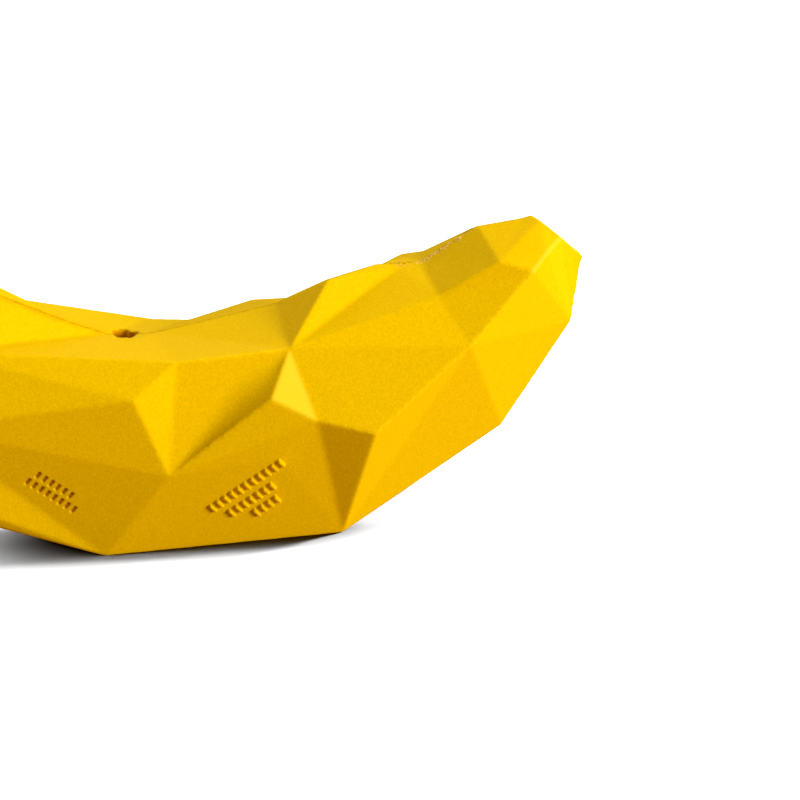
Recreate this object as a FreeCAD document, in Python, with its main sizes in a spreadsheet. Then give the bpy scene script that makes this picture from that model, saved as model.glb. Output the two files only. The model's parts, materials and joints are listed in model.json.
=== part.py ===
# Faceted banana treat toy for dogs, moulded in rubber as two half shells that are bonded
# together along the upright mid-plane of the toy.
#
# Frame, in millimetres: X runs along the toy from the stem (-X) to the blunt tip (+X),
# Y runs across it with the near half at -Y, and Z points up. The toy stands on its flat
# foot at Z = 0.
#
# Every corner of the faceted skin is given in bend coordinates: a station along the bend
# (mm from its lowest point), a spread (percent of the half width, sideways) and a lift
# (percent of the half height, towards the inside of the bend). Changing the bend radius,
# the half width or the half height in the sheet reshapes the whole toy.
import FreeCAD
import Part
import math
import os

doc = FreeCAD.newDocument("banana_treat_toy")
sheet = doc.addObject("Spreadsheet::Sheet", "Sizes")

SIZES = [
    ("bend_radius", 112, "radius of the banana's middle line"),
    ("bend_offset", 6.35, "X of the lowest point of the middle line"),
    ("spine_height", 21, "Z of the lowest point of the middle line"),
    ("half_width", 22.5, "half the width of the body, along Y"),
    ("half_height", 24, "half the depth of the body, across the bend"),
    ("bond_thickness", 0.4, "cement layer between the half shells"),
    ("bond_proud", 0.4, "how far the trimmed bond line stands out of the skin"),
    ("cavity_half_width", 12.5, "half the width of the treat cavity"),
    ("cavity_half_height", 15, "half the depth of the treat cavity"),
    ("hole_diameter", 6, "treat hole on the seam, in the valley of the bend"),
    ("hole_station", -11, "X of the treat hole, from the lowest point of the middle line"),
    ("hole_start", 30, "Z where the hole cutter starts, inside the cavity"),
    ("hole_reach", 20, "length of the hole cutter"),
    ("raised_length", 2.4, "length of a raised mark, across its row"),
    ("raised_width", 0.8, "width of a raised mark, along its row"),
    ("raised_pitch", 1.65, "spacing of the raised marks in a row"),
    ("raised_height", 0.7, "how far a raised mark stands out of the skin"),
    ("raised_root", 0.6, "how far a raised mark's block goes under the skin"),
    ("sunk_length", 1.7, "length of a sunk mark, across its row"),
    ("sunk_width", 0.75, "width of a sunk mark, along its row"),
    ("sunk_pitch", 1.6, "spacing of the sunk marks in a row"),
    ("sunk_height", 0.6, "how far a sunk mark's cutter stands out of the skin"),
    ("sunk_root", 0.5, "depth of a sunk mark"),
]


def fill_sheet():
    """Write the driving sizes, one row each: name, value, what it is."""
    for row, (name, value, meaning) in enumerate(SIZES, start=1):
        sheet.set(f"A{row}", name)
        sheet.set(f"B{row}", str(value))
        sheet.set(f"C{row}", meaning)
        sheet.setAlias(f"B{row}", name)
    doc.recompute()


fill_sheet()


def size(name):
    """One driving size, read from the sheet."""
    return float(sheet.get(name))


def on_bend(station, spread, lift):
    """A point given in bend coordinates. Spread is negative towards the near side."""
    angle = station / size("bend_radius")
    reach = size("bend_radius") - lift / 100 * size("half_height")
    x = size("bend_offset") + reach * math.sin(angle)
    y = spread / 100 * size("half_width")
    z = size("spine_height") + size("bend_radius") - reach * math.cos(angle)
    return FreeCAD.Vector(x, y, z)


def on_floor(station, spread):
    """A corner of the flat foot, at Z = 0, its station measured straight along X."""
    return FreeCAD.Vector(size("bend_offset") + station, spread / 100 * size("half_width"), 0)


# Corners on the mid-plane, shared by both halves: (station, lift).
# C1 to C12 are the crest, on the inside of the bend, from the stem to the tip.
CREST = {
    "C1": (-111, 43), "C2": (-89.5, 72), "C3": (-62, 96), "C4": (-29.5, 94),
    "C5": (-16.5, 86), "C6": (-7.5, 88), "C7": (25, 98), "C8": (39, 102),
    "C9": (54, 93.3), "C10": (62, 77), "C11": (78, 71), "C12": (88.5, 43),
}
# K1 to K4 and K7 to K9 are the keel, on the outside of the bend. The foot lies between.
KEEL = {
    "K1": (-111, -11), "K2": (-89.5, -24), "K3": (-67.5, -64), "K4": (-45, -90),
    "K7": (57.5, -84), "K8": (79, -45), "K9": (89.8, -17),
}
# Corners of the near half, off the mid-plane: (station, spread, lift).
NEAR = {
    "stem_high": (-111, 26, 34), "stem_low": (-111, 28, -2),
    "neck_high": (-91, 44, 48), "neck_low": (-86, 48, 2), "neck_under": (-68, 48, -42),
    "S1": (-57, 45, 43), "S2": (-53.2, 65, -14), "S3": (-47, 57, -65), "S4": (-44, 47, -77),
    "M1": (-15, 90, 52.5), "M2": (-4.8, 76, 82), "M3": (-6, 80, -13), "M4": (15.2, 94, 46.5),
    "M5": (22.4, 70, 77.5), "M6": (23.9, 93, 18.5), "M7": (34.1, 101, -5.8), "M8": (38.3, 29, 110.5),
    "M9": (56.5, 5, 84),
    "T1": (59.7, 51, 59.5), "T2": (59.5, 80, 17.5), "T3": (75.6, 52, 51.8), "T4": (79.6, 55.5, 26),
    "T5": (84.5, 43, 24.7), "T6": (89, 8.5, 37.5), "T7": (89.4, 20, 16.6), "T8": (79.5, 6, -49),
    "T9": (58.5, 8, -84),
}
# Corners of the far half, off the mid-plane.
FAR = {
    "stem_high": (-111, 26, 34), "stem_low": (-111, 28, -2),
    "neck_high": (-88, 46, 52), "neck_low": (-91, 43, 5), "neck_under": (-68, 46, -40),
    "S1": (-56, 49, 99), "S2": (-55, 72, -10), "S3": (-45, 51, -78), "S4": (-36, 71, 88),
    "M1": (-20, 93, 43), "M2": (-2.5, 76, 82), "M3": (7, 82, 77), "M4": (-8, 80, -18),
    "M5": (23, 76, 85), "M6": (12, 101, 39), "M7": (26, 87, 13), "M8": (36.5, 87, -13),
    "M9": (42, 76, 64), "T1": (61, 71, 68), "T2": (63.6, 40, 70.4), "T3": (60, 80, 11),
    "T4": (76, 53, 40), "T5": (79.5, 58, 17), "T6": (84, 38, 17),
}

# Facets, as the names of their corners, region by region from the stem to the tip.
NEAR_FACETS = """
    C1 stem_high stem_low K1, C2 neck_high stem_high, C2 stem_high C1,
    neck_high neck_low stem_low, neck_high stem_low stem_high, neck_low K2 K1, neck_low K1 stem_low,
    C3 S1 neck_high, C3 neck_high C2, S1 S2 neck_low, S1 neck_low neck_high,
    S2 S3 neck_under, S2 neck_under neck_low, neck_under K3 K2, neck_under K2 neck_low,
    S3 S4 K4, S3 K4 K3, S3 K3 neck_under, F1 S4 K4, F1 K4 K5, F1 F2 K6 K5,
    C3 C4 S1, C4 C5 S1, C5 M2 S1, C5 C6 M2, M2 M1 S1, M1 S2 S1, M1 M3 S2, S2 M3 F1,
    S2 F1 S3, S3 F1 S4, M2 M3 M1, M2 M5 M3, C6 M5 M2, C6 C7 M5, C7 M8 M5, C7 C8 M8,
    C8 C9 M8, C9 M9 M8, M8 M9 M5, M5 M9 T1, C9 C10 M9, M9 C10 T1, M5 M4 M3, M5 M6 M4,
    M4 M6 M3, M3 M6 F2, M3 F2 F1, M6 M7 F2, M5 M7 M6, M5 T2 M7, M5 T1 T2, M7 T2 F2, T2 T9 F2,
    T1 T3 T4, T1 T4 T2, C10 T3 T1, C10 C11 T3, C11 C12 T3, C12 T6 T3, T3 T6 T5, T3 T5 T4,
    T6 T7 T5, T5 T7 T8, T4 T5 T8, T2 T4 T8, T2 T8 T9, T7 K9 T8, C12 T7 T6, C12 K9 T7,
    K9 K8 T8, K8 K7 T9, K8 T9 T8, K7 K6 T9, K6 F2 T9
"""
FAR_FACETS = """
    C1 stem_high stem_low K1, C2 neck_high stem_high, C2 stem_high C1,
    neck_high neck_low stem_low, neck_high stem_low stem_high, neck_low K2 K1, neck_low K1 stem_low,
    C3 S1 neck_high, C3 neck_high C2, S1 S2 neck_low, S1 neck_low neck_high,
    S2 neck_under neck_low, S2 S3 neck_under, S3 K3 neck_under, S3 K4 K3,
    neck_under K3 K2, neck_under K2 neck_low, F1 S3 K4, F1 K4 K5, F1 F2 K6 K5,
    C3 C4 S1, C4 S4 S1, C4 C5 S4, C5 M2 S4, C5 C6 M2, C6 M3 M2, C6 M5 M3, C6 C7 M5,
    S4 M2 M1, S1 S4 M1, S1 M1 S2, M1 M4 S2, S2 M4 F1, S2 F1 S3, M2 M3 M4, M2 M4 M1,
    M3 M5 M6, M3 M6 M4, M5 M7 M6, M6 M7 M4, M4 M7 F2, M4 F2 F1, M7 M8 F2, M5 M8 M7,
    C7 M9 M5, C7 C8 M9, C8 C9 M9, C9 T2 T1, C9 T1 M9, M9 T1 T3, M9 T3 M8, M5 M9 M8,
    M8 T3 F2, T3 K7 F2, K7 K6 F2, C9 C10 T2, C10 C11 T2, C11 T4 T2, T2 T4 T1, T1 T4 T5, T1 T5 T3,
    C11 C12 T4, C12 T6 T4, T4 T6 T5, T5 T6 K8, T6 K9 K8, C12 K9 T6, T3 T5 K8, T3 K8 K7
"""


def mid_corners():
    """The corners on the mid-plane, by name."""
    corners = {}
    for name, (station, lift) in {**CREST, **KEEL}.items():
        corners[name] = on_bend(station, 0, lift)
    corners["K5"] = on_floor(-19, 0)
    corners["K6"] = on_floor(32.5, 0)
    return corners


def half_corners(table, side, foot_spreads):
    """All corners of one half, by name. Side is -1 for the near half and +1 for the far."""
    corners = mid_corners()
    for name, (station, spread, lift) in table.items():
        corners[name] = on_bend(station, side * spread, lift)
    corners["F1"] = on_floor(-17.5, side * foot_spreads[0])
    corners["F2"] = on_floor(31.2, side * foot_spreads[1])
    return corners


def facet_names(text):
    """Split a block of facets into lists of corner names."""
    return [facet.split() for facet in text.split(",")]


def planar_face(points):
    """A flat face through the given corners."""
    return Part.Face(Part.makePolygon(points + points[:1]))


def faces_of(corners, text):
    """The faces of one half's skin."""
    return [planar_face([corners[name] for name in names]) for names in facet_names(text)]


near_corners = half_corners(NEAR, -1, (41, 31))
far_corners = half_corners(FAR, 1, (40, 33))


def faceted_solid():
    """The closed faceted body of the whole toy."""
    faces = faces_of(near_corners, NEAR_FACETS) + faces_of(far_corners, FAR_FACETS)
    shell = Part.makeShell(faces)
    shell.sewShape()
    solid = Part.makeSolid(shell)
    if solid.Volume < 0:
        solid.reverse()
    return solid


faceted_body = doc.addObject("Part::Feature", "faceted_body")
faceted_body.Shape = faceted_solid()


# The treat cavity: a smooth bent bag that keeps 5 mm or more of rubber all round.
# Each section: (station, share of the full cavity size, lift of its middle).
CAVITY_SECTIONS = [
    (-70, 0.30, 14), (-55, 0.62, 6), (-32, 0.92, 0), (0, 1.0, 0),
    (30, 0.97, 0), (54, 0.78, 4), (70, 0.40, 6),
]


def cavity_section(number, station, share, lift):
    """One ellipse across the bend, sized by the sheet."""
    ellipse = doc.addObject("Part::Ellipse", f"cavity_section_{number}")
    ellipse.setExpression("MajorRadius", f"Sizes.cavity_half_height * {share}")
    ellipse.setExpression("MinorRadius", f"Sizes.cavity_half_width * {share}")
    middle = on_bend(station, 0, lift)
    inward = on_bend(station, 0, 100) - on_bend(station, 0, 0)
    across = FreeCAD.Vector(0, 1, 0)
    turn = FreeCAD.Rotation(inward, across, inward.cross(across), "XYZ")
    ellipse.Placement = FreeCAD.Placement(middle, turn)
    return ellipse


cavity = doc.addObject("Part::Loft", "cavity")
cavity.Sections = [cavity_section(i, *row) for i, row in enumerate(CAVITY_SECTIONS)]
cavity.Solid = True
cavity.Ruled = False

treat_hole = doc.addObject("Part::Cylinder", "treat_hole")
treat_hole.setExpression("Radius", "Sizes.hole_diameter / 2")
treat_hole.setExpression("Height", "Sizes.hole_reach")
treat_hole.setExpression("Placement.Base.x", "Sizes.bend_offset + Sizes.hole_station")
treat_hole.setExpression("Placement.Base.z", "Sizes.hole_start")

hollow = doc.addObject("Part::MultiFuse", "hollow")
hollow.Shapes = [cavity, treat_hole]


def half_space(name, side):
    """A block that covers one side of the toy, up to the bond layer."""
    block = doc.addObject("Part::Box", name)
    block.setExpression("Length", "Sizes.bend_radius * 2")
    block.setExpression("Width", "Sizes.half_width * 2")
    block.setExpression("Height", "Sizes.bend_radius")
    block.setExpression("Placement.Base.x", "-Sizes.bend_radius")
    block.setExpression("Placement.Base.z", "-Sizes.half_height / 2")
    if side < 0:
        block.setExpression("Placement.Base.y", "-Sizes.bond_thickness / 2 - Sizes.half_width * 2")
    else:
        block.setExpression("Placement.Base.y", "Sizes.bond_thickness / 2")
    return block


def skin_half(name, side):
    """One side of the faceted body, still solid."""
    half = doc.addObject("Part::MultiCommon", name)
    half.Shapes = [faceted_body, half_space(f"{name}_side", side)]
    return half


# Plain moulded marks on two facets of the near half. Each mark is a small block that
# straddles the skin. Each row: (start along the row, place across the rows, count), in mm
# from the first corner that names the facet.
RAISED_ROWS = [(1.3, -13.6, 11), (3.2, -17.6, 7), (6.8, -21.3, 4)]
SUNK_ROWS = [(24, 4.5, 6), (23.4, 2.1, 8)]


def mark_frame(names, tilt):
    """Placement on a facet, at its first corner, turned by tilt degrees in its plane."""
    a, b, c = [near_corners[name] for name in names]
    normal = (b - a).cross(c - a).normalize()
    if normal.y > 0:
        normal = -normal
    level = FreeCAD.Vector(0, 0, 1).cross(normal).normalize()
    turn = FreeCAD.Rotation(level, normal.cross(level), normal, "ZXY")
    turn = turn.multiply(FreeCAD.Rotation(FreeCAD.Vector(0, 0, 1), tilt))
    return FreeCAD.Placement(a, turn)


def mark_block(name, style, frame, along, across):
    """One mark, centred at (along, across) of its frame."""
    mark = doc.addObject("Part::Box", name)
    mark.setExpression("Length", f"Sizes.{style}_width")
    mark.setExpression("Width", f"Sizes.{style}_length")
    mark.setExpression("Height", f"Sizes.{style}_height + Sizes.{style}_root")
    x = along - size(f"{style}_width") / 2
    y = across - size(f"{style}_length") / 2
    z = -size(f"{style}_root")
    mark.Placement = frame.multiply(FreeCAD.Placement(FreeCAD.Vector(x, y, z), FreeCAD.Rotation()))
    return mark


def mark_rows(style, frame, rows):
    """All marks of one style, as one group."""
    marks = []
    for row, (start, across, count) in enumerate(rows):
        for place in range(count):
            along = start + place * size(f"{style}_pitch")
            marks.append(mark_block(f"{style}_{row}_{place}", style, frame, along, across))
    group = doc.addObject("Part::MultiFuse", f"{style}_marks")
    group.Shapes = marks
    return group


raised_marks = mark_rows("raised", mark_frame(["M3", "F2", "F1"], 40), RAISED_ROWS)
sunk_marks = mark_rows("sunk", mark_frame(["S2", "F1", "M3"], -40), SUNK_ROWS)

near_moulding = doc.addObject("Part::MultiFuse", "near_moulding")
near_moulding.Shapes = [skin_half("near_skin", -1), raised_marks]
near_marked = doc.addObject("Part::Cut", "near_marked")
near_marked.Base = near_moulding
near_marked.Tool = sunk_marks

near_half_shell = doc.addObject("Part::Cut", "near_half_shell")
near_half_shell.Base = near_marked
near_half_shell.Tool = hollow

far_half_shell = doc.addObject("Part::Cut", "far_half_shell")
far_half_shell.Base = skin_half("far_skin", 1)
far_half_shell.Tool = hollow


# The bond: a thin layer of cement between the halves, trimmed a little proud of the skin.
def bond_blank():
    """The mid-plane outline of the toy, grown by the proud trim and given its thickness."""
    outline = ["C1", "C2", "C3", "C4", "C5", "C6", "C7", "C8", "C9", "C10", "C11", "C12",
               "K9", "K8", "K7", "K6", "K5", "K4", "K3", "K2", "K1"]
    corners = mid_corners()
    points = [corners[name] for name in outline]
    face = Part.Face(Part.makePolygon(points + points[:1]))
    grown = face.makeOffset2D(size("bond_proud"))
    thickness = FreeCAD.Vector(0, size("bond_thickness"), 0)
    slab = grown.extrude(thickness)
    slab.translate(thickness * -0.5)
    above_floor = Part.makeBox(400, 10, 200, FreeCAD.Vector(-200, -5, 0))
    return slab.common(above_floor)


bond_slab = doc.addObject("Part::Feature", "bond_slab")
bond_slab.Shape = bond_blank()

seam_bond = doc.addObject("Part::Cut", "seam_bond")
seam_bond.Base = bond_slab
seam_bond.Tool = hollow

SUBPARTS = [near_half_shell, far_half_shell, seam_bond]
for part in SUBPARTS:
    part.Label = part.Name

doc.recompute()


def check_object(item):
    """Stop if an object failed to rebuild, or its shape is empty or broken."""
    if {"Invalid", "Error"} & set(item.State):
        raise RuntimeError(f"{item.Name} did not rebuild: {item.State}")
    shape = getattr(item, "Shape", None)
    if shape is not None and (shape.isNull() or not shape.isValid()):
        raise RuntimeError(f"{item.Name} has no valid shape")


for item in doc.Objects:
    check_object(item)

os.makedirs("parts", exist_ok=True)
for part in SUBPARTS:
    solids = part.Shape.Solids
    print(part.Label, "solids", len(solids), "volume", round(part.Shape.Volume, 1), part.Shape.BoundBox)
    part.Shape.exportStep(f"parts/{part.Label}.step")
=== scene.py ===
"""Looks of the faceted banana treat toy: moulded rubber halves, bond line and treat hole.

Everything is in metres in the CAD's frame: X runs from the stem to the blunt tip, the near half is
at -Y, and Z points up.
"""
import json
import math
import bmesh
import bpy
import numpy as np
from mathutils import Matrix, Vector
from mathutils.bvhtree import BVHTree


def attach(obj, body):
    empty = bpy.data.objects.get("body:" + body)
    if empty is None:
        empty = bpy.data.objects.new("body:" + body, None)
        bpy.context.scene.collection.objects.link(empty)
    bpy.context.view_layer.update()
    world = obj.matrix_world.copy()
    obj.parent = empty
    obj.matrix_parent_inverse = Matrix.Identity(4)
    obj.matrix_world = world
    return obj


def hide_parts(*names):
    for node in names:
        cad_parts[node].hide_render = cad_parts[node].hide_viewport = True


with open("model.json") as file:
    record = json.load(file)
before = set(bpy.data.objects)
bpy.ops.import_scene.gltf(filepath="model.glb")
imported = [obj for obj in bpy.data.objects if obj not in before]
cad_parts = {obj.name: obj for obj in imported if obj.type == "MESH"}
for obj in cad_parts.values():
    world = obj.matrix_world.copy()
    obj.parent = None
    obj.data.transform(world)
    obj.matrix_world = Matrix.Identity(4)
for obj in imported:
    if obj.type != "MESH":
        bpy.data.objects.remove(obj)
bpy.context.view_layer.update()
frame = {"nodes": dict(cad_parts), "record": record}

MM = 0.001


def spot(x, y, z):
    """A place given in millimetres."""
    return np.array([x, y, z]) * MM


# ---------------------------------------------------------------- the toy's form, from the CAD
HALF_BOND = 0.2 * MM        # half the thickness of the bond layer
BEND_CENTRE = np.array([6.35, 133.0]) * MM     # X and Z of the centre of the banana's bend
BEND_RADIUS = 112 * MM
LIFT_UNIT = 0.24 * MM       # one percent of the half height
# The treat cavity: station along the bend in mm, share of the full size, lift of its middle.
CAVITY = np.array([(-70, 0.30, 14), (-55, 0.62, 6), (-32, 0.92, 0), (0, 1.0, 0),
                   (30, 0.97, 0), (54, 0.78, 4), (70, 0.40, 6)])
CAVITY_HALF_WIDTH = 12.5 * MM
CAVITY_HALF_HEIGHT = 15 * MM
CAVITY_HALF_LENGTH = 71 * MM
CAVITY_MARGIN = 1.15        # the wall itself lies up to this share of the cavity's size
treat_hole = next(m for m in frame["record"]["mounts"] if m["name"] == "treat_hole")
HOLE_MIDDLE = np.array(treat_hole["pos_m"])
HOLE_RADIUS = treat_hole["dims"]["r_mm"] * MM

STEM_FOOT = spot(-11.15, -9.225, 0)
TIP_FOOT = spot(37.55, -6.975, 0)
BELLY = spot(0.186, -18.0, 18.045)
STEM_BELLY = spot(-46.409, -14.625, 30.411)
VALLEY_TOP = spot(24.91, -15.75, 41.46)     # the long soft valley runs from here down to BELLY
VALLEY_LEFT = spot(2.39, -17.1, 40.76)      # corner of the facet to its left
VALLEY_RIGHT = spot(19.99, -21.15, 33.09)   # corner of the ridge to its right
RIDGE_END = spot(29.13, -20.925, 27.88)
TIP = spot(89.7, 0, 52.2)                   # the sharp corner of the blunt end
CREST_TIP = spot(78.5, 0, 61.4)             # the corner at the end of the crest

# Plain moulded marks. Each style: the corners of its facet, turn of its rows in degrees, and in mm
# its rows as (start along, place across, count), length and width of a mark, spacing in the row, and
# height above the skin.
MARKS = [
    dict(facet=(BELLY, TIP_FOOT, STEM_FOOT), turn=40, length=2.4, width=0.8, pitch=1.65,
         height=0.7, rows=[(1.3, -13.6, 11), (3.2, -17.6, 7), (6.8, -21.3, 4)]),
    dict(facet=(STEM_BELLY, STEM_FOOT, BELLY), turn=-40, length=1.7, width=0.75, pitch=1.6,
         height=-0.5, rows=[(24, 4.5, 6), (23.4, 2.1, 8)]),
]
MARK_ZONE = 1.2 * MM        # reach of the marks' zone over and under the facet
MARK_ROUNDING = 0.2 * MM    # radius of a mark's corners
MARK_SLOPE = 0.28 * MM      # width of a mark's sloping sides
SUNK_SHADE = 0.65            # how dark the painted shade in a sunk mark is


# ---------------------------------------------------------------- mesh helpers
CUT_TOLERANCE = 1e-7        # vertices this close to a cutting plane are on it


def new_object(name, mesh):
    """A scene object around a mesh."""
    obj = bpy.data.objects.new(name, mesh)
    bpy.context.scene.collection.objects.link(obj)
    return obj


def baked(obj):
    """The mesh of an object with its modifiers applied. The object is removed."""
    depsgraph = bpy.context.evaluated_depsgraph_get()
    mesh = bpy.data.meshes.new_from_object(obj.evaluated_get(depsgraph))
    bpy.data.objects.remove(obj)
    return mesh


def to_bmesh(*meshes):
    """A bmesh that holds all these meshes, ready to edit."""
    bm = bmesh.new()
    for mesh in meshes:
        bm.from_mesh(mesh)
    return bm


def from_bmesh(bm, mesh):
    """The mesh, now with the edited bmesh in it. The bmesh is freed."""
    bm.to_mesh(mesh)
    bm.free()
    return mesh


def cut_across(bm, place, facing, clear_outer=False):
    """Cut a bmesh by a plane across Y, and give the edges of the cut in order."""
    geom = bm.verts[:] + bm.edges[:] + bm.faces[:]
    cut = bmesh.ops.bisect_plane(bm, geom=geom, dist=CUT_TOLERANCE, plane_co=(0, place, 0),
                                 plane_no=(0, facing, 0), clear_outer=clear_outer)
    return [e for e in cut["geom_cut"] if isinstance(e, bmesh.types.BMEdge)]


def vertex_vectors(mesh, name):
    """One vector per vertex, such as its co or normal, as an (n, 3) array."""
    flat = np.empty(len(mesh.vertices) * 3)
    mesh.vertices.foreach_get(name, flat)
    return flat.reshape(-1, 3)


def coords(mesh):
    """Vertex positions as an (n, 3) array."""
    return vertex_vectors(mesh, "co")


def set_coords(mesh, points):
    """Write vertex positions back."""
    mesh.vertices.foreach_set("co", points.ravel())
    mesh.update()


def store(mesh, name, values):
    """Keep one number per vertex with the mesh, for its material."""
    layer = mesh.attributes.get(name) or mesh.attributes.new(name, "FLOAT", "POINT")
    layer.data.foreach_set("value", values)


def edge_pairs(mesh):
    """The two vertices of each edge."""
    flat = np.empty(len(mesh.edges) * 2, dtype=np.int64)
    mesh.edges.foreach_get("vertices", flat)
    return flat.reshape(-1, 2)


def relax(points, pairs, rounds):
    """Smooth a mesh: each round moves every point half of the way to its neighbours' mean."""
    count = np.bincount(pairs.ravel(), minlength=len(points))[:, None]
    for _ in range(rounds):
        total = np.zeros_like(points)
        for axis in range(3):
            total[:, axis] += np.bincount(pairs[:, 0], points[pairs[:, 1], axis], len(points))
            total[:, axis] += np.bincount(pairs[:, 1], points[pairs[:, 0], axis], len(points))
        points = points + 0.5 * (total / count - points)
    return points


def grid_faces(rows, columns, wrap=False):
    """The quads between the points of a grid, numbered row by row. A wrapped row is a ring."""
    last = columns if wrap else columns - 1
    return [(r * columns + i, r * columns + (i + 1) % columns,
             (r + 1) * columns + (i + 1) % columns, (r + 1) * columns + i)
            for r in range(rows - 1) for i in range(last)]


# ---------------------------------------------------------------- number helpers
LATTICE_SIZE = 32
LATTICE = np.random.default_rng(7).uniform(-1, 1, (LATTICE_SIZE,) * 3)
OTHER_BUMPS = 5 * MM        # added to a place, it gives bumps that don't match those at the place
NOT_ZERO = 1e-9             # least radius to divide by


def wobble(points, size):
    """Smooth noise between -1 and 1 at each point, with bumps of about this size."""
    cell = points / size
    base = np.floor(cell).astype(int)
    part = cell - base
    part = part * part * (3 - 2 * part)
    total = np.zeros(len(points))
    for corner in range(8):
        step = np.array([corner & 1, corner >> 1 & 1, corner >> 2])
        weight = np.prod(np.where(step == 1, part, 1 - part), axis=1)
        index = (base + step) % LATTICE_SIZE
        total += weight * LATTICE[index[:, 0], index[:, 1], index[:, 2]]
    return total


def rough(points, size, broad_size, broad_share, apart=0):
    """Bumps of one size, plus a share of broader ones from a place this far apart."""
    return wobble(points, size) + broad_share * wobble(points + apart, broad_size)


def smooth_step(value, start, end):
    """0 up to start, 1 from end on, smooth between."""
    share = np.clip((value - start) / (end - start), 0, 1)
    return share * share * (3 - 2 * share)


def fade(value, start, end):
    """1 up to start, 0 from end on, smooth between."""
    return 1 - smooth_step(value, start, end)


def bell(value, middle, width):
    """1 in the middle, falling away on both sides over about this width."""
    return np.exp(-((value - middle) / width) ** 2)


# ---------------------------------------------------------------- places on the toy
FACET_DEPTH = 0.3 * MM                  # a point this close to a facet's plane belongs to it
FACET_RIM = (-0.2 * MM, 0.3 * MM)       # from its sides inwards, a facet's share grows over this
LINE_RIM = (0.3 * MM, 0.8 * MM)         # a line fades out over these distances


def in_cavity(points):
    """True for the points on or inside the treat cavity's wall."""
    across = points[:, 0] - BEND_CENTRE[0]
    down = BEND_CENTRE[1] - points[:, 2]
    station = BEND_RADIUS * np.arctan2(across, down)
    lift = BEND_RADIUS - np.hypot(across, down)
    share = np.interp(station, CAVITY[:, 0] * MM, CAVITY[:, 1])
    middle = np.interp(station, CAVITY[:, 0] * MM, CAVITY[:, 2]) * LIFT_UNIT
    reach = np.hypot(points[:, 1] / CAVITY_HALF_WIDTH, (lift - middle) / CAVITY_HALF_HEIGHT)
    return (reach < CAVITY_MARGIN * share) & (abs(station) < CAVITY_HALF_LENGTH)


def facet_plane(corners):
    """A corner and the outward normal of a facet of the near side."""
    a, b, c = corners
    normal = np.cross(b - a, c - a)
    return a, normal * -np.sign(normal[1]) / np.linalg.norm(normal)


def on_facet(points, corners):
    """1 on a facet of the near side, 0 a little outside its sides."""
    start, normal = facet_plane(corners)
    share = abs((points - start) @ normal) < FACET_DEPTH
    for number, corner in enumerate(corners):
        side = np.cross(normal, corners[(number + 1) % 3] - corner)
        side *= np.sign(side @ (corners[(number + 2) % 3] - corner)) / np.linalg.norm(side)
        share = share * smooth_step((points - corner) @ side, *FACET_RIM)
    return share


def near_line(points, start, end):
    """1 on a line between two places, 0 from a short way off it."""
    along = end - start
    share = np.clip((points - start) @ along / (along @ along), 0, 1)
    gap = np.linalg.norm(points - start - share[:, None] * along, axis=1)
    return fade(gap, *LINE_RIM)


class MarkFrame:
    """The plane of a marked facet, with rows along u and across v."""

    def __init__(self, style):
        self.origin, self.normal = facet_plane(style["facet"])
        level = np.cross((0, 0, 1), self.normal)
        level = level / np.linalg.norm(level)
        rise = np.cross(self.normal, level)
        turn = math.radians(style["turn"])
        self.u = math.cos(turn) * level + math.sin(turn) * rise
        self.v = math.cos(turn) * rise - math.sin(turn) * level
        pitch, length = style["pitch"], style["length"]
        start, across, count = np.array(style["rows"]).T
        end = start + (count - 1) * pitch
        self.low = np.array([start.min() - pitch, across.min() - length]) * MM
        self.high = np.array([end.max() + pitch, across.max() + length]) * MM

    def local(self, points):
        """Place along the row, across it, and height above the facet."""
        offset = points - self.origin
        return offset @ self.u, offset @ self.v, offset @ self.normal

    def zone(self, points):
        """True for the points close over or under the marked rectangle."""
        u, v, height = self.local(points)
        inside = (u > self.low[0]) & (u < self.high[0]) & (v > self.low[1]) & (v < self.high[1])
        return inside & (abs(height) < MARK_ZONE)


mark_frames = [MarkFrame(style) for style in MARKS]


# ---------------------------------------------------------------- the moulded skin
VOXEL = 0.4 * MM            # grid of the moulded skin
WELD = 1e-6                 # vertices this close are one
CAVITY_THINNED = 0.97       # share of the hidden cavity wall's faces that goes


def closed_half(node, side):
    """A copy of a half shell's mesh, closed and unmarked, its rim pushed across the mid-plane."""
    mesh = frame["nodes"][node].data.copy()
    bm = to_bmesh(mesh)
    bmesh.ops.remove_doubles(bm, verts=bm.verts, dist=WELD)
    for vert in bm.verts:
        if abs(vert.co.y - side * HALF_BOND) < WELD:
            vert.co.y = -side * HALF_BOND
    from_bmesh(bm, mesh)
    points = coords(mesh)
    for marked in mark_frames:
        flat = marked.zone(points)
        height = marked.local(points)[2]
        points[flat] -= height[flat, None] * marked.normal
    set_coords(mesh, points)
    return mesh


def fused_body():
    """Both half shells as one fine-meshed skin, hollow inside."""
    halves = to_bmesh(closed_half("near_half_shell", -1), closed_half("far_half_shell", 1))
    mesh = from_bmesh(halves, bpy.data.meshes.new("fused"))
    body = new_object("fused", mesh)
    exact = new_object("exact", mesh.copy())
    remesh = body.modifiers.new("skin", "REMESH")
    remesh.mode = "VOXEL"
    remesh.voxel_size = VOXEL
    snap = body.modifiers.new("snap", "SHRINKWRAP")
    snap.target = exact
    snap.wrap_method = "NEAREST_SURFACEPOINT"
    skin = baked(body)
    bpy.data.objects.remove(exact)
    return skin


def thin_cavity(skin):
    """Give the hidden cavity wall a coarser mesh."""
    inside = in_cavity(coords(skin))
    body = new_object("thinned", skin)
    group = body.vertex_groups.new(name="cavity")
    group.add([int(i) for i in np.flatnonzero(inside)], 1.0, "ADD")
    thin = body.modifiers.new("thin", "DECIMATE")
    thin.vertex_group = "cavity"
    thin.ratio = 1 - CAVITY_THINNED * inside.mean()
    return baked(body)
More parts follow.
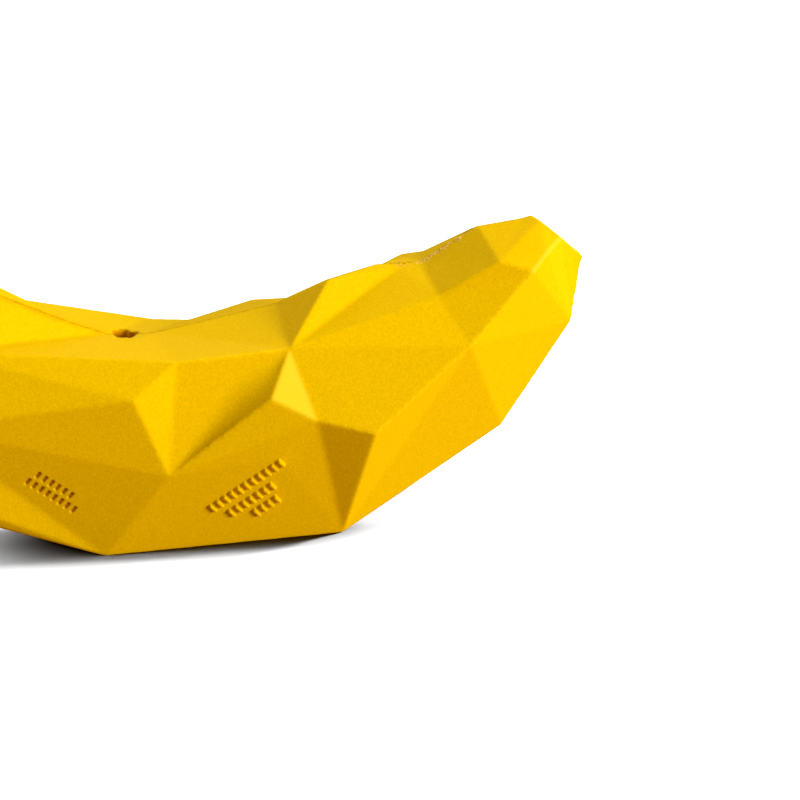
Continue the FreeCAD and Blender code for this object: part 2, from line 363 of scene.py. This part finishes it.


# ---------------------------------------------------------------- soft edges, the long valley and painted highlights
TIP_ROUNDS = 1              # smoothing rounds at the sharp corner
CRISP_ROUNDS = 3            # smoothing rounds of the convex edges
FILL_ROUNDS = 3             # further smoothing rounds that fill any valley
FILL_START = 0.02 * MM      # smaller fills fade out
TIP_REACH = (2 * MM, 5 * MM)            # the sharp corner's rounds give way over these distances
CORNER_REACH = 2.8 * MM     # how far round a corner its neighbours are pulled out with it
CORNER_FALL = 1.5           # how fast that pull falls off

# Painted highlights, carried by the "edge" numbers: along convex edges, on the kite-shaped facet and
# along a ridge near the tip.
HIGHLIGHT_LOWERED = (0.03 * MM, 0.13 * MM)    # how much smoothing lowers an edge with the least and with the full painted highlight
EDGE_HIGHLIGHT = 0.3              # how strong the painted highlight on a convex edge is
KITE_HIGHLIGHT = 0.7              # how strong the painted highlight on the kite-shaped facet beside the valley is
RIDGE_HIGHLIGHT = 0.6             # how strong the painted highlight along the ridge near the tip is
HIGHLIGHT_RIDGE = [spot(75.35, -12.5, 52.85), spot(79.0, -9.68, 55.71), spot(83.7, -4.5, 57.6)]

VALLEY_WIDEST = 0.28        # share of the way down where the ridge stands out most
VALLEY_BLEND = 4.1 * MM     # height over which the two facets blend there
VALLEY_ROUNDING = 0.7       # how smoothly the blend grows and shrinks again
VALLEY_GROUND = (-0.2 * MM, 0.8 * MM)   # heights over the two facets that count as on them
LEAST_TAPER = 1e-3          # keeps the blend's height above zero past the valley's ends


def valley_fill(points):
    """How far each point moves to blend the two facets of the long valley into each other."""
    along = BELLY - VALLEY_TOP
    share = (points - VALLEY_TOP) @ along / (along @ along)
    left_normal = facet_plane((VALLEY_LEFT, VALLEY_TOP, BELLY))[1]
    right_normal = facet_plane((VALLEY_TOP, VALLEY_RIGHT, BELLY))[1]
    left, right = (points - VALLEY_LEFT) @ left_normal, (points - VALLEY_TOP) @ right_normal
    # The taper is the lesser of the two, with a quadratic rounding where they meet.
    opening, closing = share / VALLEY_WIDEST, (1 - share) / (1 - VALLEY_WIDEST)
    mix = np.clip(0.5 + 0.5 * (closing - opening) / VALLEY_ROUNDING, 0, 1)
    taper = closing * (1 - mix) + opening * mix - VALLEY_ROUNDING * mix * (1 - mix)
    reach = VALLEY_BLEND * np.maximum(taper, LEAST_TAPER)
    ground = np.minimum(left, right)
    on_facets = (ground > VALLEY_GROUND[0]) & (ground < VALLEY_GROUND[1])
    wanted = reach / 4 * np.clip(1 - abs(left - right) / reach, 0, 1) ** 2
    fill = on_facets * np.maximum(wanted - ground, 0) * (wanted > 0)
    upward = left_normal + right_normal
    return fill[:, None] * upward / (upward @ left_normal)


def pull_to_corner(points, corner):
    """Bring the nearest point out to a sharp corner, and its neighbours part of the way."""
    distance = np.linalg.norm(points - corner, axis=1)
    shift = corner - points[np.argmin(distance)]
    weight = np.clip(1 - (distance - distance.min()) / CORNER_REACH, 0, 1) ** CORNER_FALL
    return points + weight[:, None] * shift


def painted_highlights(points, lowered):
    """How much painted highlight each point gets: on convex edges, on the kite-shaped facet and along
    the ridge near the tip.
    """
    highlight_amount = np.interp(lowered, HIGHLIGHT_LOWERED, (0, EDGE_HIGHLIGHT))
    kite = on_facet(points, (VALLEY_TOP, VALLEY_RIGHT, RIDGE_END))
    highlight_amount = np.maximum(highlight_amount, KITE_HIGHLIGHT * kite)
    for start, end in zip(HIGHLIGHT_RIDGE[:-1], HIGHLIGHT_RIDGE[1:]):
        highlight_amount = np.maximum(highlight_amount, RIDGE_HIGHLIGHT * near_line(points, start, end))
    return highlight_amount


def soften(skin):
    """Round the convex edges a little, fill the valleys, sharpen the corners of the tip, and store
    the painted highlights as the "edge" numbers.
    """
    pairs = edge_pairs(skin)
    sharp = relax(coords(skin), pairs, TIP_ROUNDS)
    crisp = relax(sharp, pairs, CRISP_ROUNDS - TIP_ROUNDS)
    filled = relax(crisp, pairs, FILL_ROUNDS)
    at_tip = fade(np.linalg.norm(crisp - TIP, axis=1), *TIP_REACH)
    crisp += (sharp - crisp) * at_tip[:, None]
    set_coords(skin, crisp)
    normals = vertex_vectors(skin, "normal")
    rise = np.einsum("ij,ij->i", filled - crisp, normals)
    highlight_amount = painted_highlights(crisp, -rise)
    rise *= np.clip(rise / FILL_START, 0, 1)
    points = crisp + rise[:, None] * normals
    shift = valley_fill(crisp)
    in_valley = np.linalg.norm(shift, axis=1) > rise
    points[in_valley] = crisp[in_valley] + shift[in_valley]
    for corner in (TIP, CREST_TIP):
        points = pull_to_corner(points, corner)
    set_coords(skin, points)
    # The painted highlights go to the material as the "edge" numbers.
    store(skin, "edge", highlight_amount)


# ---------------------------------------------------------------- the treat hole, its painted shade and the seam's deeper tint
# The painted shade in the hole: where it fades out past the hole's radius, and its heights from the
# hole's middle.
HOLE_SHADE_RIM = (0.05 * MM, 0.3 * MM)
HOLE_SHADE_HEIGHTS = (-20 * MM, 5 * MM)

# The deeper tint beside the seam is faint all along, and stronger from one place in X to another.
SEAM_TINT_RIM = (0.25 * MM, 0.7 * MM)       # it fades out to the side over these distances
SEAM_TINT_LOWEST = 30 * MM      # it is on the crest only
SEAM_TINT_PATCH = 1.5 * MM      # size of its patches
SEAM_TINT_COVER = 0.55          # its middle strength, before the patches
SEAM_TINT_PATCHINESS = 0.9      # how much the patches change it
SEAM_TINT_FAINT = 0.08
SEAM_TINT_STRONGER = 0.22       # added to the faint strength
STRONG_GROWS = (-34 * MM, -26 * MM)
STRONG_ENDS = (-8 * MM, -4 * MM)

# The torn mouth: bulges of its edge towards its middle, as size, angle from +X to either side and
# width, the angles in radians.
MOUTH_BULGES = [(0.7 * MM, 0.7, 0.45), (0.9 * MM, math.pi, 0.8)]
MOUTH_RAGGED = (0.22 * MM, 1.2 * MM)    # height and size of the bumps on its edge
MOUTH_UNEVEN = (0.15 * MM, 0.8 * MM)    # the same for the ups and downs of its rim
MOUTH_SHIFT = 1.2 * MM      # how far all of it is shifted towards +Y
MOUTH_REACH = (0.3 * MM, 1.6 * MM)      # it fades out over these distances from the hole's wall
MOUTH_HEIGHTS = (-6 * MM, -3 * MM)      # it grows over these heights from the hole's middle


def shade_and_seam_tint(points, offset, radius):
    """How much of the "inside" colour each point has: painted shade on the hole's wall and in the
    cavity, and the seam's deeper tint.
    """
    hole_shade = fade(radius, *(HOLE_RADIUS + np.array(HOLE_SHADE_RIM)))
    low, high = HOLE_SHADE_HEIGHTS
    hole_shade *= (offset[:, 2] > low) & (offset[:, 2] < high)
    seam_tint = fade(abs(points[:, 1]), *SEAM_TINT_RIM) * (points[:, 2] > SEAM_TINT_LOWEST)
    seam_tint *= np.clip(SEAM_TINT_COVER + SEAM_TINT_PATCHINESS * wobble(points, SEAM_TINT_PATCH), 0, 1)
    strong = smooth_step(points[:, 0], *STRONG_GROWS) * fade(points[:, 0], *STRONG_ENDS)
    seam_tint *= SEAM_TINT_FAINT + SEAM_TINT_STRONGER * strong
    return np.maximum.reduce([hole_shade, in_cavity(points), seam_tint])


def tear_hole(skin):
    """Give the treat hole its rough, roughly trimmed edge, and store how much painted shade (hole and
    cavity) and seam tint each point has.
    """
    points = coords(skin)
    offset = points - HOLE_MIDDLE
    radius = np.hypot(offset[:, 0], offset[:, 1])
    store(skin, "inside", shade_and_seam_tint(points, offset, radius))
    angle = abs(np.arctan2(offset[:, 1], offset[:, 0]))
    near_wall = fade(abs(radius - HOLE_RADIUS), *MOUTH_REACH)
    near_wall *= smooth_step(offset[:, 2], *MOUTH_HEIGHTS)
    inward = sum(size * bell(angle, middle, width) for size, middle, width in MOUTH_BULGES)
    inward += MOUTH_RAGGED[0] * wobble(points, MOUTH_RAGGED[1])
    shift = -near_wall * inward / np.maximum(radius, NOT_ZERO)
    points[:, 0] += shift * offset[:, 0]
    points[:, 1] += shift * offset[:, 1] + near_wall * MOUTH_SHIFT
    points[:, 2] += near_wall * MOUTH_UNEVEN[0] * wobble(points, MOUTH_UNEVEN[1])
    set_coords(skin, points)


# ---------------------------------------------------------------- the two halves and their marks
def half_of(skin, name, side):
    """One half of the skin, cut at its bond face and closed there."""
    bm = to_bmesh(skin)
    rim = cut_across(bm, side * HALF_BOND, -side, clear_outer=True)
    bmesh.ops.triangle_fill(bm, edges=rim, use_beauty=True, use_dissolve=False)
    bmesh.ops.recalc_face_normals(bm, faces=bm.faces[:])
    return from_bmesh(bm, bpy.data.meshes.new(name))


def mould_marks(mesh, style, marked):
    """Refine the marked rectangle, push the marks out of it or into it, and paint shade into the sunk
    ones.
    """
    bm = to_bmesh(mesh)
    wanted = marked.zone(np.array([face.calc_center_median() for face in bm.faces]))
    chosen = [face for face, in_zone in zip(bm.faces, wanted) if in_zone]
    edges = list(dict.fromkeys(edge for face in chosen for edge in face.edges))
    bmesh.ops.subdivide_edges(bm, edges=edges, cuts=2, use_grid_fill=True)
    from_bmesh(bm, mesh)
    points = coords(mesh)
    zone = marked.zone(points)
    u, v, _ = [values[zone] for values in marked.local(points)]
    half_width, half_length = [style[key] * MM / 2 - MARK_ROUNDING for key in ("width", "length")]
    raised = np.zeros(len(u))
    for start, across, count in style["rows"]:
        for number in range(count):
            du = abs(u - (start + number * style["pitch"]) * MM) - half_width
            dv = abs(v - across * MM) - half_length
            outside = np.hypot(np.maximum(du, 0), np.maximum(dv, 0))
            gap = outside + np.minimum(np.maximum(du, dv), 0)
            raised = np.maximum(raised, fade(gap, 0.0, MARK_SLOPE))
    points[zone] += (raised * style["height"] * MM)[:, None] * marked.normal
    set_coords(mesh, points)
    # Painted shade in the sunk marks, through the "inside" numbers.
    if style["height"] < 0:
        inside = np.zeros(len(points))
        mesh.attributes["inside"].data.foreach_get("value", inside)
        inside[zone] = SUNK_SHADE * raised
        store(mesh, "inside", inside)


skin = fused_body()
soften(skin)
tear_hole(skin)
skin = thin_cavity(skin)

near_mesh = half_of(skin, "near_half", -1)
for style, marked in zip(MARKS, mark_frames):
    mould_marks(near_mesh, style, marked)
far_mesh = half_of(skin, "far_half", 1)


# ---------------------------------------------------------------- the bond line
BOND_STEP = 0.16 * MM       # spacing of the points along the outline
BOND_ROWS = np.array([-1, -0.5, 0, 0.5, 1]) * HALF_BOND
BOND_SUNK = 0.22 * MM       # how far under the skin the layer lies where it isn't ragged
BOND_RAGGED = 0.22 * MM     # how far its bumps rise from there
BOND_BUMPS = (0.45 * MM, 1.7 * MM, 0.35)        # their size, broad size and share of broad ones
OUTER_SHARE = 0.35          # share of that rise in the two outer rows
RAGGED_BUMPS = 0.5 * MM     # size of the bumps that differ from row to row
RAGGED_APART = spot(0, 3, 0)            # from the place to the place where these bumps are read
RAGGED_LOWEST = -0.4
RAGGED_MIDDLE, RAGGED_CHANGE = 0.7, 0.5         # how they change the other bumps
BOND_INNER = 0.05 * MM      # unevenness where the layer is inside the cavity or the hole
BOND_LEAN = (0.036 * MM, 0.9 * MM)      # how far the inner rows wander sideways, and how often
TURN_STEPS = 3              # points on either side that give the outline's direction
HOLE_CLEAR = 0.4 * MM       # the layer meets the skin from this far outside the hole
UNDERSIDE = 20 * MM         # the outline below this height is far under the hole

FLASH_SPAN = (46 * MM, 77.5 * MM)       # X of the flash's ends
FLASH_ROWS = np.linspace(0.1, -1.2, 12) * MM    # Y of the film's rows of points
FLASH_LOWEST = 35 * MM      # the crest is higher than this
FLASH_SLOPE = 0.2           # and its outward direction rises more than this
FLASH_PROBE = (2 * MM, 6 * MM)          # start of the search for the skin over it, and its length
FLASH_HEIGHT = 0.25 * MM    # height of its specks, and thickness of the film that carries them
SPECK_LIMITS = (-0.4, 0.8)  # the lowest and highest, as shares of that
SPECK_BUMPS = (0.32 * MM, 1.1 * MM, 0.5, 9 * MM)        # size, broad size, broad share, apart
SPECK_COVER = -0.1          # more of this, and more of the specks reach out of the skin
FLASH_MIDDLE = -0.3 * MM    # Y of its thickest row
SPECK_LOSS = 0.8 / MM       # cover lost with the distance from that row
FLASH_THICKEST = 59 * MM    # X of its thickest place
SPECK_GAIN = (0.3, 4.5 * MM)            # cover gained there, and over what width
FLASH_GROWS = 6 * MM        # length over which its stem end grows
FLASH_THINS = (-14 * MM, -10 * MM)      # before its tip end, it thins over these places
FLASH_LEFT = 0.4            # what is left of it then
FLASH_BURIED = 0.16 * MM    # how far the film dives under the skin where nothing is left
FLASH_GLINT = 0.15           # painted glints: how much of the light cement colour the specks get
FLASH_GLINT_PEAK = (0.6, 6 * MM)             # how much more of it at the thickest place, over what width
FLASH_GLINT_MOTTLE = (1.2, 0.4 * MM)          # how much the painted glints change, and over what size


def closed_loops(edges):
    """The closed loops that these edges form, each as (x, z) points."""
    left = dict.fromkeys(edges)
    loops = []
    while left:
        edge = next(iter(left))
        del left[edge]
        start, here = edge.verts
        loop = [start.co.xz, here.co.xz]
        while here is not start:
            edge = next(e for e in here.link_edges if e in left)
            del left[edge]
            here = edge.other_vert(here)
            loop.append(here.co.xz)
        loops.append(np.array([tuple(p) for p in loop]))
    return loops


def mid_outline(skin):
    """The closed outline of the rubber on the mid-plane, as evenly spaced (x, z) points."""
    bm = to_bmesh(skin)
    loop = max(closed_loops(cut_across(bm, 0, 1)), key=len)
    bm.free()
    walked = np.r_[0, np.cumsum(np.linalg.norm(np.diff(loop, axis=0), axis=1))]
    count = int(walked[-1] / BOND_STEP)
    places = np.linspace(0, walked[-1], count, endpoint=False)
    return np.stack([np.interp(places, walked, loop[:, axis]) for axis in (0, 1)], axis=1)


def outward_of(outline):
    """The outward direction at each (x, z) point of a closed outline."""
    along = np.roll(outline, -TURN_STEPS, axis=0) - np.roll(outline, TURN_STEPS, axis=0)
    outward = np.stack([along[:, 1], -along[:, 0]], axis=1)
    outward /= np.linalg.norm(outward, axis=1)[:, None]
    x, z = outline.T
    return outward * np.sign(np.sum(x * np.roll(z, -1) - z * np.roll(x, -1)))


def in_mid_plane(pairs):
    """(x, z) pairs as places or directions in the mid-plane."""
    return np.stack([pairs[:, 0], np.zeros(len(pairs)), pairs[:, 1]], axis=1)


def bond_rows(flat, outward, on_skin):
    """The points of the cement layer's rim: recessed a hair under the skin, and ragged."""
    bumps = BOND_RAGGED * np.maximum(rough(flat, *BOND_BUMPS), 0)
    lean_all = BOND_LEAN[0] * wobble(flat + OTHER_BUMPS, BOND_LEAN[1]) * on_skin
    rows = []
    for number, across in enumerate(BOND_ROWS):
        ragged = wobble(flat + RAGGED_APART + (0, across, 0), RAGGED_BUMPS)
        ragged = np.maximum(ragged, RAGGED_LOWEST)
        outer = number in (0, len(BOND_ROWS) - 1)
        rise = bumps * (OUTER_SHARE if outer else 1) * (RAGGED_MIDDLE + RAGGED_CHANGE * ragged)
        height = np.where(on_skin, rise - BOND_SUNK, BOND_INNER * ragged)
        lean = 0 if outer else lean_all
        row = flat + height[:, None] * outward
        row[:, 1] = across + lean
        row[:, 2] = np.maximum(row[:, 2], 0)
        rows.append(row)
    return rows


def flash_film(skin, crest, out):
    """The ragged flash: a film of cement specks on the skin along the near side of the crest."""
    bm = to_bmesh(skin)
    tree = BVHTree.FromBMesh(bm)
    bm.free()
    order = np.argsort(crest[:, 0])
    crest, out = crest[order], out[order]
    rows = []
    for across in FLASH_ROWS:
        starts = crest + FLASH_PROBE[0] * out + np.array([0, across, 0])
        hits = [tree.ray_cast(Vector(p), Vector(-d), FLASH_PROBE[1]) for p, d in zip(starts, out)]
        ground = np.array([tuple(hit[0] or place) for hit, place in zip(hits, crest)])
        normal = np.array([tuple(hit[1] or (0, 0, 1)) for hit in hits])
        x = ground[:, 0]
        speck = rough(ground, *SPECK_BUMPS) + SPECK_COVER - SPECK_LOSS * abs(across - FLASH_MIDDLE)
        speck += SPECK_GAIN[0] * bell(x, FLASH_THICKEST, SPECK_GAIN[1])
        left = smooth_step(x, FLASH_SPAN[0], FLASH_SPAN[0] + FLASH_GROWS)
        thinned = smooth_step(x - FLASH_SPAN[1], *FLASH_THINS)
        left *= 1 - (1 - FLASH_LEFT) * thinned
        height = np.clip(speck, *SPECK_LIMITS) * FLASH_HEIGHT - (1 - left) * FLASH_BURIED
        rows.append(ground + height[:, None] * normal)
    mesh = bpy.data.meshes.new("flash_film")
    mesh.from_pydata(np.concatenate(rows).tolist(), [], grid_faces(len(rows), len(crest)))
    bm = to_bmesh(mesh)
    bmesh.ops.recalc_face_normals(bm, faces=bm.faces[:])
    bmesh.ops.solidify(bm, geom=bm.faces[:], thickness=FLASH_HEIGHT)
    bmesh.ops.recalc_face_normals(bm, faces=bm.faces[:])
    return from_bmesh(bm, mesh)


def bond_mesh(skin):
    """The whole bond line: the cement layer with its flat sides, and the flash on the crest."""
    outline = mid_outline(skin)
    flat, outward = in_mid_plane(outline), in_mid_plane(outward_of(outline))
    off_hole = abs(flat[:, 0] - HOLE_MIDDLE[0]) > HOLE_RADIUS + HOLE_CLEAR
    on_skin = ~in_cavity(flat) & (off_hole | (flat[:, 2] < UNDERSIDE))
    in_flash = on_skin & (outward[:, 2] > FLASH_SLOPE) & (flat[:, 2] > FLASH_LOWEST)
    in_flash &= (flat[:, 0] > FLASH_SPAN[0]) & (flat[:, 0] < FLASH_SPAN[1])
    rows = bond_rows(flat, outward, on_skin)
    mesh = bpy.data.meshes.new("seam_bond_skin")
    mesh.from_pydata(np.concatenate(rows).tolist(), [], grid_faces(len(rows), len(flat), wrap=True))
    bm = to_bmesh(mesh)
    open_edges = [e for e in bm.edges if e.is_boundary]
    for side in (-1, 1):
        edges = [e for e in open_edges if e.verts[0].co.y * side > 0]
        bmesh.ops.triangle_fill(bm, edges=edges, use_beauty=False, use_dissolve=False)
    bmesh.ops.recalc_face_normals(bm, faces=bm.faces[:])
    plain = len(bm.verts)
    bm.from_mesh(flash_film(skin, flat[in_flash], outward[in_flash]))
    from_bmesh(bm, mesh)
    points = coords(mesh)
    # Painted glints on the flash's specks: the light cement colour, through the "inside" numbers.
    highlight_amount = FLASH_GLINT + FLASH_GLINT_PEAK[0] * bell(points[:, 0], FLASH_THICKEST, FLASH_GLINT_PEAK[1])
    highlight_amount += FLASH_GLINT_MOTTLE[0] * wobble(points + OTHER_BUMPS, FLASH_GLINT_MOTTLE[1])
    highlight_amount[:plain] = 0
    store(mesh, "inside", np.clip(highlight_amount, 0, 1))
    return mesh


bond = bond_mesh(skin)


# ---------------------------------------------------------------- materials
# Colours: the two that are mottled together, and the one that the "inside" numbers bring in: on the
# rubber, painted shade in the hole, the cavity and the sunk marks plus a deeper tint beside the seam;
# on the cement, painted glints on the flash.
YELLOW = ((0.80, 0.477, 0.0), (0.67, 0.399, 0.0), (0.56, 0.235, 0.0))
CEMENT = ((0.68, 0.39, 0.0), (0.40, 0.19, 0.0), (0.90, 0.62, 0.12))
HIGHLIGHT_COLOUR = (0.80, 0.52, 0.02)             # painted highlight colour that the "edge" numbers bring in
SHEEN_COLOUR = (1, 0.75, 0.1, 1)
SHEEN_LEVEL = 0.02
ROUGHNESS_SPREAD = 0.07
GRAIN_DEPTH = 0.1 * MM
# Scale and detail of the noise behind the mottled colour, the roughness and the grain.
MOTTLE_NOISE, ROUGHNESS_NOISE, GRAIN_NOISE = (2000, 4), (900, 2), (2600, 3)
NOISE_ROUGHNESS = 0.55
MOTTLE_LIMITS = dict(From_Min=0.3, From_Max=0.7)


def add_node(tree, kind, **values):
    """A shader node, with its inputs set by name."""
    node = tree.nodes.new(kind)
    for name, value in values.items():
        node.inputs[name.replace("_", " ")].default_value = value
    return node


def moulded_rubber(name, colours, roughness, grain):
    """Matt rubber: sandblasted grain, mottled colour, painted highlights from the "edge" numbers, and
    the "inside" colour for painted shade, the seam's tint and painted glints.
    """
    material = bpy.data.materials.new(name)
    material.use_nodes = True
    tree = material.node_tree
    shader = tree.nodes["Principled BSDF"]
    place = tree.nodes.new("ShaderNodeTexCoord").outputs["Object"]
    light, dark, painted_light_colour = [(*colour, 1) for colour in colours]

    def noise(scale, detail):
        node = add_node(tree, "ShaderNodeTexNoise", Scale=scale, Detail=detail,
                        Roughness=NOISE_ROUGHNESS)
        tree.links.new(place, node.inputs["Vector"])
        return node.outputs["Fac"]

    def ranged(value, **limits):
        node = add_node(tree, "ShaderNodeMapRange", **limits)
        tree.links.new(value, node.inputs["Value"])
        return node.outputs["Result"]

    def blend(amount, other):
        node = tree.nodes.new("ShaderNodeMix")
        node.data_type = "RGBA"
        node.inputs["B"].default_value = other
        tree.links.new(amount, node.inputs["Factor"])
        return node

    tint = blend(ranged(noise(*MOTTLE_NOISE), **MOTTLE_LIMITS), dark)
    tint.inputs["A"].default_value = light
    # Painted highlights come in with the "edge" numbers; painted shade, the seam's deeper tint and
    # painted glints come in with the "inside" numbers.
    for attribute, other in (("edge", (*HIGHLIGHT_COLOUR, 1)), ("inside", painted_light_colour)):
        amount = tree.nodes.new("ShaderNodeAttribute")
        amount.attribute_name = attribute
        last, tint = tint, blend(amount.outputs["Fac"], other)
        tree.links.new(last.outputs["Result"], tint.inputs["A"])
    tree.links.new(tint.outputs["Result"], shader.inputs["Base Color"])

    uneven = ranged(noise(*ROUGHNESS_NOISE), To_Min=roughness - ROUGHNESS_SPREAD,
                    To_Max=roughness + ROUGHNESS_SPREAD)
    tree.links.new(uneven, shader.inputs["Roughness"])

    bump = add_node(tree, "ShaderNodeBump", Strength=grain, Distance=GRAIN_DEPTH)
    tree.links.new(noise(*GRAIN_NOISE), bump.inputs["Height"])
    tree.links.new(bump.outputs["Normal"], shader.inputs["Normal"])
    shader.inputs["Specular IOR Level"].default_value = SHEEN_LEVEL
    shader.inputs["Specular Tint"].default_value = SHEEN_COLOUR
    return material


yellow = moulded_rubber("yellow_rubber", YELLOW, roughness=0.6, grain=0.55)
cement = moulded_rubber("bond_cement", CEMENT, roughness=0.45, grain=0.5)


# ---------------------------------------------------------------- pieces
def piece(name, mesh, material, node):
    """Put a finished piece in place of its CAD node."""
    obj = new_object(name, mesh)
    mesh.materials.clear()
    mesh.materials.append(material)
    for polygon in mesh.polygons:
        polygon.use_smooth = True
        polygon.material_index = 0
    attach(obj, "root")
    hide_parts(node)
    return obj


near_half = piece("near_half", near_mesh, yellow, "near_half_shell")
far_half = piece("far_half", far_mesh, yellow, "far_half_shell")
bond_line = piece("bond_line", bond, cement, "seam_bond")


# ---------------------------------------------------------------- floor
# The floor is dark, so that it shows little of the toy's yellow, and its lamps are strong enough to
# make it white. The bounce floor under it is hidden and gives the toy its warm reflected light.
FLOOR_COLOUR = (0.051, 0.051, 0.051)
BOUNCE_COLOUR = (0.40, 0.25, 0.12)
BOUNCE_HEIGHT = -0.5 * MM
FLOOR_REACH = 3             # half the side of the square floor


def floor_plane(name, height, colour):
    """A wide level floor with a matt colour."""
    mesh = bpy.data.meshes.new(name)
    corners = [(x * FLOOR_REACH, y * FLOOR_REACH, height)
               for x, y in ((-1, -1), (1, -1), (1, 1), (-1, 1))]
    mesh.from_pydata(corners, [], [(0, 1, 2, 3)])
    material = bpy.data.materials.new(name)
    material.use_nodes = True
    shader = material.node_tree.nodes["Principled BSDF"]
    shader.inputs["Base Color"].default_value = (*colour, 1)
    shader.inputs["Specular IOR Level"].default_value = 0.0
    mesh.materials.append(material)
    plane = new_object(name, mesh)
    return plane


floor = floor_plane("floor", 0, FLOOR_COLOUR)
floor.visible_diffuse = False
floor.visible_glossy = False
floor.visible_shadow = False
bounce = floor_plane("bounce", BOUNCE_HEIGHT, BOUNCE_COLOUR)
bounce.visible_camera = False


# ---------------------------------------------------------------- camera
ELEVATION = math.radians(16)
YAW = math.radians(15)      # the camera stands this far round to the stem's side of the front
VIEW_DISTANCE = 0.6733
AIM = Vector((0.05135, 0, 0.02475))
SENSOR_WIDTH = 36           # mm
FOCAL_LENGTH = 149.985      # mm


def direction(azimuth, elevation):
    """The way from the toy to a lamp or the camera. Azimuth 0 is the front, -Y, and 90 is +X."""
    level = math.cos(elevation)
    return Vector((math.sin(azimuth) * level, -math.cos(azimuth) * level, math.sin(elevation)))


def aimed_object(name, data, towards):
    """A camera or lamp that is turned to the toy from this direction."""
    obj = bpy.data.objects.new(name, data)
    bpy.context.scene.collection.objects.link(obj)
    obj.rotation_euler = (-towards).to_track_quat("-Z", "Y").to_euler()
    return obj


camera_data = bpy.data.cameras.new("camera")
camera_data.sensor_width = SENSOR_WIDTH
camera_data.lens = FOCAL_LENGTH
to_camera = direction(-YAW, ELEVATION)
camera = aimed_object("camera", camera_data, to_camera)
camera.location = AIM + to_camera * VIEW_DISTANCE
bpy.context.scene.camera = camera


# ---------------------------------------------------------------- light
# The lamps of the toy and of the floor: azimuth from the front, elevation, strength and softness,
# with the angles in degrees.
LAMPS = [(45, 12, 1.08, 25), (90, 12, 0.36, 30), (71, 38, 0.53, 25), (174, 38, 0.18, 40),
         (225, 38, 0.28, 40), (277, 38, 0.24, 40), (216, 63, 0.21, 40)]
FLOOR_LAMPS = [(97, 29.4, 40, 12), (57, 69.3, 18.6, 14), (275, 32.8, 14.7, 22.5)]


def lamps_for(name, placings, lit):
    """Soft far lamps that light only these objects."""
    receivers = bpy.data.collections.new(name)
    for obj in lit:
        receivers.objects.link(obj)
    for number, (azimuth, elevation, strength, softness) in enumerate(placings):
        lamp = bpy.data.lights.new(f"{name}_{number}", "SUN")
        lamp.energy = strength * math.pi
        lamp.angle = math.radians(softness)
        towards = direction(math.radians(azimuth), math.radians(elevation))
        holder = aimed_object(f"{name}_{number}", lamp, towards)
        holder.light_linking.receiver_collection = receivers


lamps_for("toy_lamp", LAMPS, (near_half, far_half, bond_line, bounce))
lamps_for("floor_lamp", FLOOR_LAMPS, (floor,))

# The white world is only a backdrop: it lights nothing.
world = bpy.data.worlds.new("world")
bpy.context.scene.world = world
world.use_nodes = True
background = world.node_tree.nodes["Background"]
background.inputs["Color"].default_value = (1, 1, 1, 1)
background.inputs["Strength"].default_value = 1.0
world.cycles_visibility.diffuse = False
world.cycles_visibility.glossy = False
bpy.context.scene.view_settings.view_transform = "Standard"
